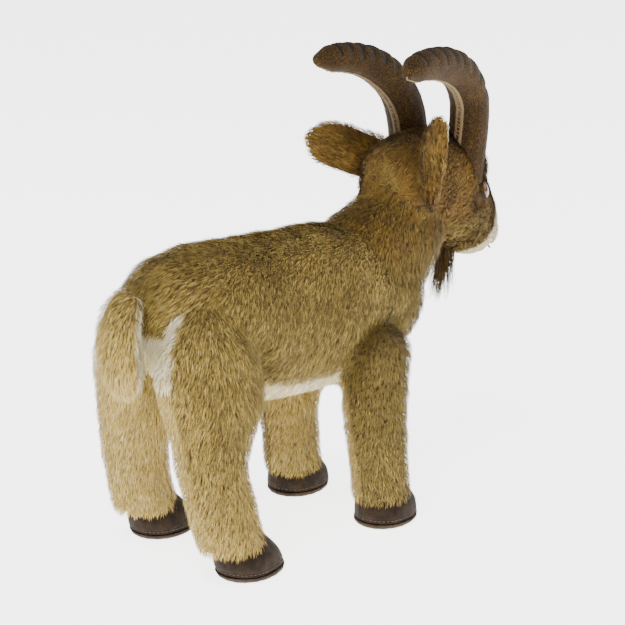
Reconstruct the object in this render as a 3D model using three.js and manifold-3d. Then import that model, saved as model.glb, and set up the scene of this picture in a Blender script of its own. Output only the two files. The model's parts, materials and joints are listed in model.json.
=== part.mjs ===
// A plush ibex kid that stands on four legs: sewn pile-fabric panels over fibre filling, with a wire frame.
// Millimetres. +Z is up, the animal faces -Y and its left side is +X. The origin is on the ground, at the
// centre of the whole toy's bounding box. Shapes are laid out in the toy's own body frame, whose X = 0 is the
// spine and whose Y = 0 lies midway between the front and rear legs. One group moves them to the origin.
import * as THREE from "three";
import { mergeVertices } from "three/addons/utils/BufferGeometryUtils.js";
import Module from "manifold-3d";

const wasm = await Module();
wasm.setup();

// ---- Driving dimensions ----
const BODY_AT = [-2.75, 50]; // the body frame's X and Y from the origin
const COAT = 7; // a fur panel: backing cloth and pile together
const FILL_INSET = 10.5; // the filling's depth below the outside of the coat
const SEAM = 0.4; // the gap between two panels that are sewn together
const SWEEP_GAP = 1.5; // the clearance around a piece that moves
const HEAD_YAW = 14; // the head is turned this far to its left, in degrees
const NOD_RANGE = [-12, 12];
const TURN_RANGE = [-40, 15];
const LEG_RANGE = [-12, 12];
const SWEEP_STEP = 8; // degrees between the positions that a turning piece's room takes in
const SWEEP_RINGS = [30, 20]; // the rings along that room, and the points round each
const ROOM_TOLERANCE = 0.25; // how closely that room is followed
const CUT_TOLERANCE = 0.12; // how closely a cut piece is followed
const FILL_TOLERANCE = 0.3; // and how closely the filling is
const WIRE_GAP = 1.2; // the room round a wire in the filling
const WIRE_R = 1.6;
const SOLE_THICK = 3.6;
const HOOF_TOP = 31;

const NECK_PIVOT = [0, -80, 178];
const HEAD_PIVOT = [0, -128, 196];

// ---- Colours ----
const cloth = (color, roughness = 0.95) => new THREE.MeshStandardMaterial({ color, roughness, metalness: 0 });
const TAN = cloth(0x9a7c4a);
const PALE = cloth(0xc0a674);
const BROWN = cloth(0x7d5c2f);
const CREAM = cloth(0xd9cda6);
const GINGER = cloth(0x8d6733);
const HOOF = cloth(0x3b2a20);
const HORN = cloth(0x5a4424);
const BEARD = cloth(0x32221b);
const LINING = cloth(0xdcc9a0);
const NOSE = cloth(0x2e1f1a, 0.8);
const FIBRE = cloth(0xf1eee6);
const WIRE = new THREE.MeshStandardMaterial({ color: 0x9a9da0, roughness: 0.35, metalness: 1 });
const EYE = new THREE.MeshStandardMaterial({ color: 0x3a1e08, roughness: 0.08, metalness: 0 });
const WASHER = new THREE.MeshStandardMaterial({ color: 0xe8e6df, roughness: 0.5, metalness: 0 });

// ---- Geometry helpers ----

const mix = THREE.MathUtils.lerp;

// A closed geometry from points and triangles: close points are merged and collapsed triangles dropped.
function closedGeometry(points, triangles) {
  const geometry = new THREE.BufferGeometry();
  const numbers = points.flatMap((p) => [p.x, p.y, p.z]);
  geometry.setAttribute("position", new THREE.Float32BufferAttribute(numbers, 3));
  geometry.setIndex(triangles.flat());
  const merged = mergeVertices(geometry, 1e-3);
  const index = [];
  const old = merged.index.array;
  for (let i = 0; i < old.length; i += 3) {
    const [a, b, c] = [old[i], old[i + 1], old[i + 2]];
    if (a !== b && b !== c && c !== a) index.push(a, b, c);
  }
  merged.setIndex(index);
  return facingOut(merged);
}

function signedVolume(geometry) {
  const p = geometry.attributes.position;
  const [a, b, c] = [new THREE.Vector3(), new THREE.Vector3(), new THREE.Vector3()];
  let volume = 0;
  for (let i = 0; i < geometry.index.count; i += 3) {
    a.fromBufferAttribute(p, geometry.index.getX(i));
    b.fromBufferAttribute(p, geometry.index.getX(i + 1));
    c.fromBufferAttribute(p, geometry.index.getX(i + 2));
    volume += a.dot(b.cross(c)) / 6;
  }
  return volume;
}

function facingOut(geometry) {
  if (signedVolume(geometry) < 0) {
    const index = geometry.index.array;
    for (let i = 0; i < index.length; i += 3) [index[i + 1], index[i + 2]] = [index[i + 2], index[i + 1]];
  }
  return geometry;
}

// A slab between an outer and an inner surface, each a function of u and v from 0 to 1. wrap joins v 1 to 0.
function slab(outer, inner, nu, nv, wrap = false) {
  const columns = wrap ? nv : nv + 1;
  const points = [];
  for (const surface of [outer, inner]) {
    for (let i = 0; i <= nu; i += 1) {
      for (let j = 0; j < columns; j += 1) points.push(surface(i / nu, j / nv));
    }
  }
  const half = (nu + 1) * columns;
  const at = (side, i, j) => side * half + i * columns + (j % columns);
  const triangles = [];
  const quad = (a, b, c, d) => triangles.push([a, b, c], [a, c, d]);
  for (let i = 0; i < nu; i += 1) {
    for (let j = 0; j < nv; j += 1) {
      quad(at(0, i, j), at(0, i + 1, j), at(0, i + 1, j + 1), at(0, i, j + 1));
      quad(at(1, i, j + 1), at(1, i + 1, j + 1), at(1, i + 1, j), at(1, i, j));
    }
  }
  for (let j = 0; j < nv; j += 1) {
    quad(at(0, 0, j), at(0, 0, j + 1), at(1, 0, j + 1), at(1, 0, j));
    quad(at(1, nu, j), at(1, nu, j + 1), at(0, nu, j + 1), at(0, nu, j));
  }
  if (!wrap) {
    for (let i = 0; i < nu; i += 1) {
      quad(at(1, i, 0), at(1, i + 1, 0), at(0, i + 1, 0), at(0, i, 0));
      quad(at(0, i, nv), at(0, i + 1, nv), at(1, i + 1, nv), at(1, i, nv));
    }
  }
  return closedGeometry(points, triangles);
}

// A solid body of rings, each a function of u and v, closed by a fan at each end.
function ringSolid(surface, nu, nv) {
  const points = [];
  for (let i = 0; i <= nu; i += 1) {
    for (let j = 0; j < nv; j += 1) points.push(surface(i / nu, j / nv));
  }
  const centre = (i) => points.slice(i * nv, (i + 1) * nv)
    .reduce((sum, p) => sum.add(p), new THREE.Vector3()).divideScalar(nv);
  const ends = [centre(0), centre(nu)];
  const first = points.length;
  points.push(...ends);
  const triangles = [];
  for (let j = 0; j < nv; j += 1) {
    const k = (j + 1) % nv;
    triangles.push([first, k, j], [first + 1, nu * nv + j, nu * nv + k]);
    for (let i = 0; i < nu; i += 1) {
      const [a, b, c, d] = [i * nv + j, (i + 1) * nv + j, (i + 1) * nv + k, i * nv + k];
      triangles.push([a, c, b], [a, d, c]);
    }
  }
  return closedGeometry(points, triangles);
}

// A rounded form along a smooth line: each station is [x, y, z, half width along X, half thickness across].
class Form {
  constructor(stations) {
    const curve = (list) => new THREE.CatmullRomCurve3(list, false, "catmullrom", 0.5);
    this.line = curve(stations.map(([x, y, z]) => new THREE.Vector3(x, y, z)));
    this.radii = curve(stations.map(([, , , a, b]) => new THREE.Vector3(a, b, 0)));
  }

  // The point at t along the line and at an angle round it, in turns from +X, inset from the surface.
  at(t, turn, inset = 0) {
    const centre = this.line.getPoint(t);
    const tangent = this.line.getTangent(t);
    const side = new THREE.Vector3(1, 0, 0).addScaledVector(tangent, -tangent.x).normalize();
    const across = new THREE.Vector3().crossVectors(tangent, side);
    const radii = this.radii.getPoint(t);
    const angle = turn * 2 * Math.PI;
    return centre
      .addScaledVector(side, Math.max(radii.x - inset, 0.2) * Math.cos(angle))
      .addScaledVector(across, Math.max(radii.y - inset, 0.2) * Math.sin(angle));
  }

  // A panel over t0 to t1 and turn0 to turn1, as thick as the coat.
  panel(t0, t1, turn0, turn1, nt, nTurn, thick = COAT, inset = 0) {
    const surface = (depth) => (u, v) => this.at(mix(t0, t1, u), mix(turn0, turn1, v), depth);
    return slab(surface(inset), surface(inset + thick), nt, nTurn, Math.abs(turn1 - turn0) === 1);
  }

  body(t0, t1, nt, nTurn, inset = 0) {
    return ringSolid((u, v) => this.at(mix(t0, t1, u), v, inset), nt, nTurn);
  }
}

// ---- Solids: joining, cutting and sweeping ----

function solid(geometry) {
  return new wasm.Manifold(new wasm.Mesh({
    numProp: 3,
    vertProperties: new Float32Array(geometry.attributes.position.array),
    triVerts: new Uint32Array(geometry.index.array),
  }));
}

// The largest body of a solid, as a geometry: a cut can leave crumbs behind.
function shape(manifold, tolerance = CUT_TOLERANCE) {
  const largest = manifold.decompose().sort((a, b) => b.volume() - a.volume())[0];
  const mesh = largest.simplify(tolerance).getMesh();
  const geometry = new THREE.BufferGeometry();
  const points = [];
  for (let i = 0; i < mesh.numVert; i += 1) {
    points.push(...mesh.vertProperties.slice(i * mesh.numProp, i * mesh.numProp + 3));
  }
  geometry.setAttribute("position", new THREE.Float32BufferAttribute(points, 3));
  geometry.setIndex([...mesh.triVerts]);
  return geometry;
}

function turned(manifold, pivot, degrees, axis = "x") {
  return manifold.translate(pivot.map((n) => -n)).rotate(axis === "x" ? [degrees, 0, 0] : [0, 0, degrees])
    .translate(pivot);
}

// The room that a body takes as it turns about an axis through a pivot, from low to high degrees: one convex
// hollow.
function roomToTurn(body, pivot, axis, [low, high]) {
  const places = [];
  for (let angle = low; angle < high + SWEEP_STEP; angle += SWEEP_STEP) {
    places.push(turned(body, pivot, Math.min(angle, high), axis));
  }
  return wasm.Manifold.hull(places).simplify(ROOM_TOLERANCE);
}

const envelope = (form, t0, t1) => solid(form.body(t0, t1, ...SWEEP_RINGS, -SWEEP_GAP));
const backwards = ([low, high]) => [-high, -low];

function dropCollapsed(geometry) {
  const old = geometry.index.array;
  const index = [];
  for (let i = 0; i < old.length; i += 3) {
    if (old[i] !== old[i + 1] && old[i + 1] !== old[i + 2] && old[i + 2] !== old[i]) {
      index.push(old[i], old[i + 1], old[i + 2]);
    }
  }
  geometry.setIndex(index);
  return geometry;
}

// A round wire along points, as a closed tube.
function wireAlong(points, radius, steps = 14, sides = 8) {
  const curve = new THREE.CatmullRomCurve3(points.map((p) => new THREE.Vector3(...p)));
  const frames = curve.computeFrenetFrames(steps, false);
  return ringSolid((u, v) => {
    const i = Math.round(u * steps);
    const angle = v * 2 * Math.PI;
    return curve.getPointAt(u)
      .addScaledVector(frames.normals[i], radius * Math.cos(angle))
      .addScaledVector(frames.binormals[i], radius * Math.sin(angle));
  }, steps, sides);
}

// The hollow for a wire: wider than it all along, and open out through the filling towards one point.
function wireChannel(points, opening, steps) {
  const wide = WIRE_R + WIRE_GAP;
  const start = points[0];
  const inside = points[0].map((n, i) => n + (points[1][i] - n) * 0.1);
  return solid(wireAlong(points, wide, steps)).add(solid(wireAlong([opening, start, inside], wide, 2, 6)));
}

const toy = new THREE.Group();

function add(name, geometry, material, parent = toy) {
  const mesh = new THREE.Mesh(geometry, material);
  mesh.name = name;
  parent.add(mesh);
  return mesh;
}

// ---- Forms in the body frame ----

// From the rump forward to the chest: [x, y, z, half width, half height].
const TORSO = new Form([
  [0, 113, 165, 10, 9],
  [0, 109, 166, 29, 26],
  [0, 99, 167, 43, 39],
  [0, 84, 168, 52, 49],
  [0, 62, 166, 56, 55],
  [0, 32, 161, 55, 58],
  [0, -6, 158, 54, 60],
  [0, -44, 157, 52, 60],
  [0, -76, 157, 48, 54],
  [0, -102, 154, 39, 43],
  [0, -118, 151, 26, 28],
  [0, -124, 150, 9, 9],
]);

const NECK = new Form([
  [0, -56, 164, 14, 12],
  [0, -62, 167, 34, 32],
  [0, -82, 177, 42, 42],
  [0, -104, 192, 38, 39],
  [0, -121, 208, 34, 33],
  [0, -132, 220, 26, 25],
  [0, -137, 225, 9, 9],
]);

// Each leg from its hip down to the hoof. side is +1 on the animal's left.
function legForm(front, side, hoof) {
  const [x, y] = hoof;
  return front
    ? new Form([
      [side * 34, -63, 152, 8, 9],
      [side * 34.5, -63, 147, 19, 21],
      [side * 36, -62, 132, 26, 29],
      [side * 38.5, -61, 110, 26, 28],
      [side * 42, y + 8, 80, 24.5, 25.5],
      [x, y + 4, 50, 23, 24],
      [x, y + 1, 24, 22.5, 24],
      [x, y, 14, 20, 22],
    ])
    : new Form([
      [side * 30, 82, 190, 7, 8],
      [side * 31, 82, 184, 20, 26],
      [side * 33, 81, 156, 28, 42],
      [side * 37, 82, 125, 28.5, 42],
      [side * 41, 86, 98, 25.5, 32],
      [side * 44, 88, 76, 23, 27],
      [x, y + 20, 52, 22, 26],
      [x, y + 9, 28, 22, 23],
      [x, y + 4, 14, 20, 21],
    ]);
}

const LEGS = {
  front_left: { front: true, side: 1, hoof: [44, -59], pivot: [36, -62, 130] },
  front_right: { front: true, side: -1, hoof: [-44, -68], pivot: [-36, -62, 130] },
  rear_left: { front: false, side: 1, hoof: [48, 65], pivot: [34, 82, 160] },
  rear_right: { front: false, side: -1, hoof: [-48, 62], pivot: [-34, 82, 160] },
};

// ---- The head, in a frame at the head's pivot that turns with it: X is its left, -Y forward, Z up ----

const head = new THREE.Group();
head.position.set(...HEAD_PIVOT);
head.rotation.z = THREE.MathUtils.degToRad(HEAD_YAW);
toy.add(head);

// From the back of the skull along to the tip of the muzzle.
const SKULL = new Form([
  [0, 30, 38, 9, 9],
  [0, 25, 39, 26, 25],
  [0, 8, 41, 36, 36],
  [0, -18, 40, 38, 40],
  [0, -44, 31, 36.5, 38],
  [0, -66, 16, 32, 32],
  [0, -84, 1, 27, 26],
  [0, -97, -9, 23.5, 22],
  [0, -106, -15, 17, 15],
  [0, -109, -17, 6, 5],
]);

const inHead = (manifold) => manifold
  .translate(HEAD_PIVOT.map((n) => -n))
  .rotate([0, 0, -HEAD_YAW]);

// Turning the head one way is turning the neck the other way, as the head sees it.
const neckRoomInHead = inHead(
  roomToTurn(envelope(NECK, 0.3, 1), HEAD_PIVOT, "z", backwards(TURN_RANGE)));

// Horns: the centre line and radius along it, from the skull back to the tip, in the head's frame.
const HORN_LINES = {
  left: [
    [25, -40, 36], [25, -42, 52], [26, -44, 71], [27, -37, 93], [28, -20, 112],
    [30, 6, 126], [32, 36, 133], [34, 66, 133],
  ],
  right: [
    [-25, -40, 36], [-25, -42, 52], [-26, -45, 74], [-27, -44, 97], [-28, -30, 116],
    [-30, -2, 128], [-32, 30, 131], [-34, 57, 128],
  ],
};
const HORN_RADII = [14.5, 14.5, 14.5, 14, 13.5, 12, 10, 7.5];
const HORN_COAT = 3;
const HORN_FILL_GAP = 1.7;

function hornPoint(side) {
  const line = new THREE.CatmullRomCurve3(HORN_LINES[side].map((p) => new THREE.Vector3(...p)));
  const radii = new THREE.CatmullRomCurve3(HORN_RADII.map((r) => new THREE.Vector3(r, 0, 0)));
  // turn 0 faces the animal's left, so the two halves meet at the front and back of the curve.
  return (t, turn, inset = 0) => {
    const tangent = line.getTangent(t);
    const across = new THREE.Vector3(1, 0, 0).addScaledVector(tangent, -tangent.x).normalize();
    const up = new THREE.Vector3().crossVectors(across, tangent);
    // The tip is rounded: the radius follows a quarter circle over the last stretch.
    const tip = THREE.MathUtils.clamp((t - 0.94) / 0.06, 0, 1);
    const radius = Math.max(radii.getPoint(t).x * Math.sqrt(1 - 0.8 * tip * tip) - inset, 0.4);
    return line.getPoint(t)
      .addScaledVector(across, radius * Math.cos(turn * 2 * Math.PI))
      .addScaledVector(up, radius * Math.sin(turn * 2 * Math.PI));
  };
}

const SKULL_GAP = 0.9; // the clearance of the horns and the nose from the head's coat
const skullRoom = solid(SKULL.body(0, 1, 14, 20, -SKULL_GAP));

function addHorn(side) {
  const at = hornPoint(side);
  const half = (turn0, turn1) => {
    const surface = (inset) => (u, v) => at(u, mix(turn0, turn1, v), inset);
    return solid(slab(surface(0), surface(HORN_COAT), 14, 6)).subtract(skullRoom);
  };
  const gap = 0.004;
  const outer = side === "left" ? [-0.25 + gap, 0.25 - gap] : [0.25 + gap, 0.75 - gap];
  const inner = side === "left" ? [0.25 + gap, 0.75 - gap] : [-0.25 + gap, 0.25 - gap];
  add(`horn_outer_panel_${side}`, shape(half(...outer)), HORN, head);
  add(`horn_inner_panel_${side}`, shape(half(...inner)), HORN, head);
  const fill = solid(ringSolid((u, v) => at(0.985 * u, v, HORN_COAT + HORN_FILL_GAP), 11, 10));
  add(`horn_filling_${side}`, shape(fill.subtract(skullRoom)), FIBRE, head);
}

["left", "right"].forEach(addHorn);

// ---- Eyes: a domed button on a stem, held inside by a toothed washer ----
const EYE_R = 7;
const EYE_AT = { left: [30, -62, 27], right: [-30, -62, 27] };
const EYE_OUT = { left: [0.85, -0.42, 0.32], right: [-0.85, -0.42, 0.32] };
const EYE_BORE_GAP = 0.5;
const WASHER_R = 6;
const STEM_R = 2;
const STEM_LENGTH = 16;

function alongOut(geometry, side) {
  const out = new THREE.Vector3(...EYE_OUT[side]).normalize();
  const turn = new THREE.Quaternion().setFromUnitVectors(new THREE.Vector3(0, 0, 1), out);
  geometry.deleteAttribute("normal");
  geometry.deleteAttribute("uv");
  return facingOut(dropCollapsed(mergeVertices(
    geometry.applyQuaternion(turn).translate(...EYE_AT[side]), 1e-3)));
}

const lathe = (profile, segments = 20) => new THREE.LatheGeometry(
  profile.map(([r, z]) => new THREE.Vector2(r, z)), segments).rotateX(Math.PI / 2);

function eyeButton(side) {
  const dome = [[0, 3.6], [3, 3.1], [5.4, 1.6], [EYE_R, -0.6], [EYE_R, -2]];
  return alongOut(lathe([...dome, [STEM_R, -2.6], [STEM_R, -STEM_LENGTH], [0, -STEM_LENGTH]]), side);
}

function eyeWasher(side) {
  const [low, high] = [-11, -9];
  const bore = STEM_R + 0.3;
  return alongOut(lathe([
    [bore, low], [WASHER_R, low], [WASHER_R, high], [bore, high], [bore, low],
  ]), side);
}

// The room that an eye and its washer take in the coat and filling, as one plain turned hollow.
function eyeRoom(side) {
  const g = EYE_BORE_GAP;
  return solid(alongOut(lathe([
    [0, 30], [EYE_R + g, 30], [EYE_R + g, -STEM_LENGTH - 1], [0, -STEM_LENGTH - 1],
  ]), side));
}

const eyeRooms = ["left", "right"].map(eyeRoom);
for (const side of ["left", "right"]) {
  add(`eye_${side}`, eyeButton(side), EYE, head);
  add(`eye_washer_${side}`, eyeWasher(side), WASHER, head);
}

// ---- The nose: a padded triangle of suede stitched on the muzzle ----
const NOSE_AT = new THREE.Vector3(0, -115, -3);
const noseShape = new THREE.Shape();
noseShape.moveTo(0, -8);
noseShape.bezierCurveTo(4, -6, 10, 0, 10, 4);
noseShape.bezierCurveTo(10, 8, 4, 8.5, 0, 7);
noseShape.bezierCurveTo(-4, 8.5, -10, 8, -10, 4);
noseShape.bezierCurveTo(-10, 0, -4, -6, 0, -8);
const noseBlock = new THREE.ExtrudeGeometry(noseShape, { depth: 14, bevelEnabled: false, curveSegments: 6 });
noseBlock.rotateX(Math.PI / 2 + 0.42).translate(NOSE_AT.x, NOSE_AT.y, NOSE_AT.z);
noseBlock.deleteAttribute("normal");
noseBlock.deleteAttribute("uv");
const noseSolid = solid(facingOut(dropCollapsed(mergeVertices(noseBlock, 1e-3))));
const noseOuter = solid(SKULL.body(0, 1, 14, 20, -3));
add("nose", shape(noseSolid.intersect(noseOuter).subtract(skullRoom)), NOSE, head);

// ---- The head's coat and filling ----
const MUZZLE_T = 0.71;
const headCut = wasm.Manifold.union([neckRoomInHead, ...eyeRooms]);
const headPanel = (t0, t1, turn0, turn1, nt, nTurn) => shape(
  solid(SKULL.panel(t0, t1, turn0, turn1, nt, nTurn)).subtract(headCut));
const halfSeam = 0.0015;
const HEAD_T = [0.05, MUZZLE_T - 0.004];
add("head_panel_left", headPanel(...HEAD_T, -0.25 + halfSeam, 0.25 - halfSeam, 9, 9), BROWN, head);
add("head_panel_right", headPanel(...HEAD_T, 0.25 + halfSeam, 0.75 - halfSeam, 9, 9), BROWN, head);
add("muzzle_panel", headPanel(MUZZLE_T + 0.004, 0.985, 0, 1, 4, 18), CREAM, head);
const headFilling = solid(SKULL.body(0.06, 0.93, 9, 14, FILL_INSET))
  .subtract(neckRoomInHead).subtract(wasm.Manifold.union(eyeRooms));
add("head_filling", shape(headFilling, FILL_TOLERANCE), FIBRE, head);

// ---- Ears: a fur back and a velour lining, cupped, sewn on at the narrow end ----
const EAR_LENGTH = 53;
const EAR_RANGE = [-24, 24];
const EAR_HALF = 20;
const EAR_CUP = 9;
const EAR_BACK_THICK = 4;
const EAR_LINING_THICK = 1.6;
const EAR_ROOTS = { left: [32, -8, 50], right: [-33, 14, 42] };
// The way that each ear points, and the way that its fur back faces.
const EAR_WAYS = {
  left: { along: [0.88, 0.36, 0.3], back: [-0.3, 0.5, 0.8] },
  right: { along: [-0.3, 0.2, 0.92], back: [0.68, 0.72, 0.1] },
};

// Half the ear's width at u along it: a pinched root, a full middle and a round tip.
const earHalf = (u) => EAR_HALF * (0.34 + 0.66 * Math.sin(Math.PI * Math.min(u * 0.9, 0.5)))
  * Math.sqrt(Math.max(1 - Math.pow(Math.max(u - 0.45, 0) / 0.56, 2.4), 0.0));

function earSurface(depth, share) {
  return (u, v) => {
    const across = (v * 2 - 1) * share;
    const half = earHalf(u);
    const cup = EAR_CUP * (1 - across * across) * Math.min(half / EAR_HALF, 1);
    return new THREE.Vector3(across * half, cup + depth, u * EAR_LENGTH);
  };
}

// An ear folds towards its lining and back again about a line across its root, so it keeps clear of the skull
// wherever it is.
function addEar(side) {
  const along = new THREE.Vector3(...EAR_WAYS[side].along).normalize();
  const back = new THREE.Vector3(...EAR_WAYS[side].back);
  back.addScaledVector(along, -back.dot(along)).normalize();
  const across = new THREE.Vector3().crossVectors(back, along);
  const place = new THREE.Matrix4().makeBasis(across, back, along).setPosition(...EAR_ROOTS[side]);
  const unplace = place.clone().invert();
  const skulls = [];
  const skull = solid(SKULL.body(0, 1, 20, 28, -SWEEP_GAP));
  for (let angle = EAR_RANGE[0]; angle <= EAR_RANGE[1]; angle += EAR_RANGE[1] / 3) {
    const turn = new THREE.Matrix4().makeRotationX(THREE.MathUtils.degToRad(-angle));
    skulls.push(skull.transform(turn.multiply(unplace).elements));
  }
  const room = wasm.Manifold.union(skulls);
  const piece = (nv, ...surfaces) => shape(
    solid(slab(...surfaces, 8, nv)).subtract(room)).applyMatrix4(place);
  add(`ear_back_${side}`, piece(6, earSurface(EAR_BACK_THICK, 1), earSurface(0, 1)), GINGER, head);
  const gap = 0.6;
  const lining = piece(5, earSurface(-gap, 0.8), earSurface(-gap - EAR_LINING_THICK, 0.8));
  add(`ear_lining_${side}`, lining, LINING, head);
}

["left", "right"].forEach(addEar);

// ---- The beard: a tuft of long pile that hangs from under the chin ----
const BEARD_TOP = [0, -62, -17];
const BEARD_LENGTH = 44;
const BEARD_SWING = 20;
const beardForm = new Form([
  [BEARD_TOP[0], BEARD_TOP[1], BEARD_TOP[2], 5, 4],
  [BEARD_TOP[0], BEARD_TOP[1], BEARD_TOP[2] - BEARD_LENGTH * 0.3, 9, 7],
  [BEARD_TOP[0], BEARD_TOP[1], BEARD_TOP[2] - BEARD_LENGTH * 0.7, 8, 6],
  [BEARD_TOP[0], BEARD_TOP[1], BEARD_TOP[2] - BEARD_LENGTH, 2, 2],
]);
const beardRoom = wasm.Manifold.union([-1, -0.5, 0, 0.5, 1].map(
  (share) => turned(skullRoom, BEARD_TOP, share * BEARD_SWING)));
add("beard_tuft", shape(solid(beardForm.body(0, 1, 6, 10)).subtract(beardRoom)), BEARD, head);

// ---- The hollows round everything that swings in the torso ----
const legForms = Object.fromEntries(Object.entries(LEGS).map(
  ([name, leg]) => [name, legForm(leg.front, leg.side, leg.hoof)]));
const legRooms = Object.fromEntries(Object.entries(LEGS).map(
  ([name, leg]) => [name, roomToTurn(envelope(legForms[name], 0, 0.6), leg.pivot, "x", LEG_RANGE)]));
const neckRoom = roomToTurn(envelope(NECK, 0, 0.8), NECK_PIVOT, "x", NOD_RANGE);
const torsoCut = wasm.Manifold.union([neckRoom, ...Object.values(legRooms)]);

// ---- The neck ----
const neckBites = ["front_left", "front_right"].map(
  (name) => roomToTurn(legRooms[name], NECK_PIVOT, "x", backwards(NOD_RANGE)));
const neckCut = wasm.Manifold.union(neckBites);
const NECK_WIRE_PATH = [NECK_PIVOT, [0, -104, 196], [0, -124, 214]];
const neckPanel = (turn0, turn1) => shape(
  solid(NECK.panel(0.04, 0.8, turn0 + halfSeam, turn1 - halfSeam, 8, 8)).subtract(neckCut));
add("neck_panel_left", neckPanel(-0.25, 0.25), TAN);
add("neck_panel_right", neckPanel(0.25, 0.75), TAN);
const neckFilling = solid(NECK.body(0.06, 0.97, 8, 14, FILL_INSET))
  .subtract(neckCut).subtract(wireChannel(NECK_WIRE_PATH, [0, -50, 150], 6));
add("neck_filling", shape(neckFilling, FILL_TOLERANCE), FIBRE);
add("neck_wire", wireAlong(NECK_WIRE_PATH, WIRE_R, 6), WIRE);

// ---- The torso's coat and filling ----
const RUMP_T = 0.2;
const RUMP_TURNS = [0.46, 1.04]; // the cream rump patch is the lower half of the round rear end
const SPINE_TURN = 0.25;
const BELLY_TURNS = [0.615, 0.885]; // the cream belly panel's two long seams, in turns round the torso
const TORSO_T = [0.012, 0.95];
const torsoSeam = 0.0012;
const rumpRoom = solid(TORSO.panel(
  0, RUMP_T + 0.003, RUMP_TURNS[0] - torsoSeam * 2, RUMP_TURNS[1] + torsoSeam * 2, 4, 14, COAT + 4, -2));
const torsoPanel = (...range) => solid(TORSO.panel(...range)).subtract(torsoCut);
const backPanel = (turn0, turn1) => shape(
  torsoPanel(...TORSO_T, turn0 + torsoSeam, turn1 - torsoSeam, 12, 8).subtract(rumpRoom));
add("back_panel_left", backPanel(BELLY_TURNS[1] - 1, SPINE_TURN), TAN);
add("back_panel_right", backPanel(SPINE_TURN, BELLY_TURNS[0]), TAN);
add("belly_panel", shape(torsoPanel(
  RUMP_T + 0.006, TORSO_T[1], BELLY_TURNS[0] + torsoSeam, BELLY_TURNS[1] - torsoSeam, 12, 6)), CREAM);
add("rump_patch", shape(torsoPanel(TORSO_T[0], RUMP_T, ...RUMP_TURNS, 4, 12)), CREAM);

const SPINE_PATH = [[0, 84, 176], [0, 40, 172], [0, 0, 168], [0, -30, 164]];
const spineChannel = wireChannel(SPINE_PATH, [0, 130, 178], 8);
const torsoFilling = solid(TORSO.body(0.08, 0.94, 12, 18, FILL_INSET + 1))
  .subtract(torsoCut).subtract(spineChannel);
add("torso_filling", shape(torsoFilling, FILL_TOLERANCE), FIBRE);
add("spine_wire", wireAlong(SPINE_PATH, WIRE_R, 8), WIRE);

// ---- Legs: two panels, filling, a wire, and a hoof of cover and sole ----

// The hoof's outline at a height: an oval, longer towards the toe. A rear hoof leans back under its leg.
const HOOF_LEAN = 7;

function hoofPoint(leg, height, turn, inset) {
  const share = height / HOOF_TOP;
  const half = 21.5 * (1 - 0.16 * share * share) - inset;
  const toe = 28 * (1 - 0.4 * share * share) - inset;
  const heel = 23.5 * (1 - 0.06 * share) - inset;
  const lean = leg.front ? 0 : HOOF_LEAN * share;
  const angle = turn * 2 * Math.PI;
  const reach = Math.sin(angle) < 0 ? toe : heel;
  return new THREE.Vector3(
    leg.hoof[0] + half * Math.cos(angle), leg.hoof[1] + lean + reach * Math.sin(angle), height);
}

const HOOF_COAT = 3;
const REAR_SEAM_SHIFT = 0.05; // on a rear leg the pale inner panel reaches round the back, in turns

function addLeg(name) {
  const leg = LEGS[name];
  const form = legForms[name];
  const group = new THREE.Group();
  toy.add(group);
  const hoofSurface = (inset) => (u, v) => hoofPoint(leg, mix(SOLE_THICK + SEAM, HOOF_TOP, u), v, inset);
  add(`hoof_cover_${name}`, slab(hoofSurface(0), hoofSurface(HOOF_COAT), 3, 18, true), HOOF, group);
  const sole = ringSolid((u, v) => hoofPoint(leg, u * SOLE_THICK, v, 1.6 * (1 - u) * (1 - u)), 2, 18);
  add(`hoof_sole_${name}`, sole, HOOF, group);

  // The shaft ends flat on top of the hoof. Turn 0 faces +X, the outer side of a left leg and the inner side
  // of a right one.
  const shaftEnd = HOOF_TOP + SEAM;
  const onHoof = (geometry) => solid(geometry).trimByPlane([0, 0, 1], shaftEnd);
  const panel = (turn0, turn1) => shape(
    onHoof(form.panel(0.02, 0.96, turn0 + halfSeam, turn1 - halfSeam, 10, 7)));
  const shift = leg.front ? 0 : REAR_SEAM_SHIFT;
  const [outer, inner] = leg.side > 0
    ? [[-0.25 + shift, 0.25], [0.25, 0.75 + shift]]
    : [[0.25, 0.75 - shift], [-0.25 - shift, 0.25]];
  add(`leg_outer_panel_${name}`, panel(...outer), TAN, group);
  add(`leg_inner_panel_${name}`, panel(...inner), PALE, group);

  const foot = solid(ringSolid((u, v) => hoofPoint(
    leg, mix(SOLE_THICK + SEAM, HOOF_TOP + 2, u), v, HOOF_COAT + SEAM + 1.2), 2, 12));
  const shaft = onHoof(form.body(0.02, 0.96, 10, 14, FILL_INSET));
  const top = form.line.getPoint(0.1);
  const mid = form.line.getPoint(0.5);
  const low = form.line.getPoint(0.8);
  const end = [leg.hoof[0], leg.hoof[1], SOLE_THICK + 6];
  const path = [top, mid, low].map((p) => [p.x, p.y, p.z]);
  const wirePath = [...path, end];
  const channel = wireChannel(wirePath, [top.x, top.y, top.z + 40], 8);
  add(`leg_filling_${name}`, shape(shaft.add(foot).subtract(channel), FILL_TOLERANCE), FIBRE, group);
  add(`leg_wire_${name}`, wireAlong(wirePath, WIRE_R, 8), WIRE, group);
}

Object.keys(LEGS).forEach(addLeg);

// ---- The tail: a flat plush flap sewn on at its top ----
const TAIL = new Form([
  [0, 114, 198, 8, 4],
  [0, 120, 193, 17, 8],
  [0, 127, 180, 22, 11],
  [0, 129, 164, 23.5, 12],
  [0, 128, 147, 23, 12],
  [0, 126, 132, 17, 9],
  [0, 125, 127, 5, 3],
]);
const TAIL_COAT = 5;
const tail = new THREE.Group();
toy.add(tail);
const TAIL_GAP = 2.4; // the tail's clearance from the rump, so that it can lift
const torsoRoom = solid(TORSO.body(0, 1, 18, 24, -TAIL_GAP));
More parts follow.
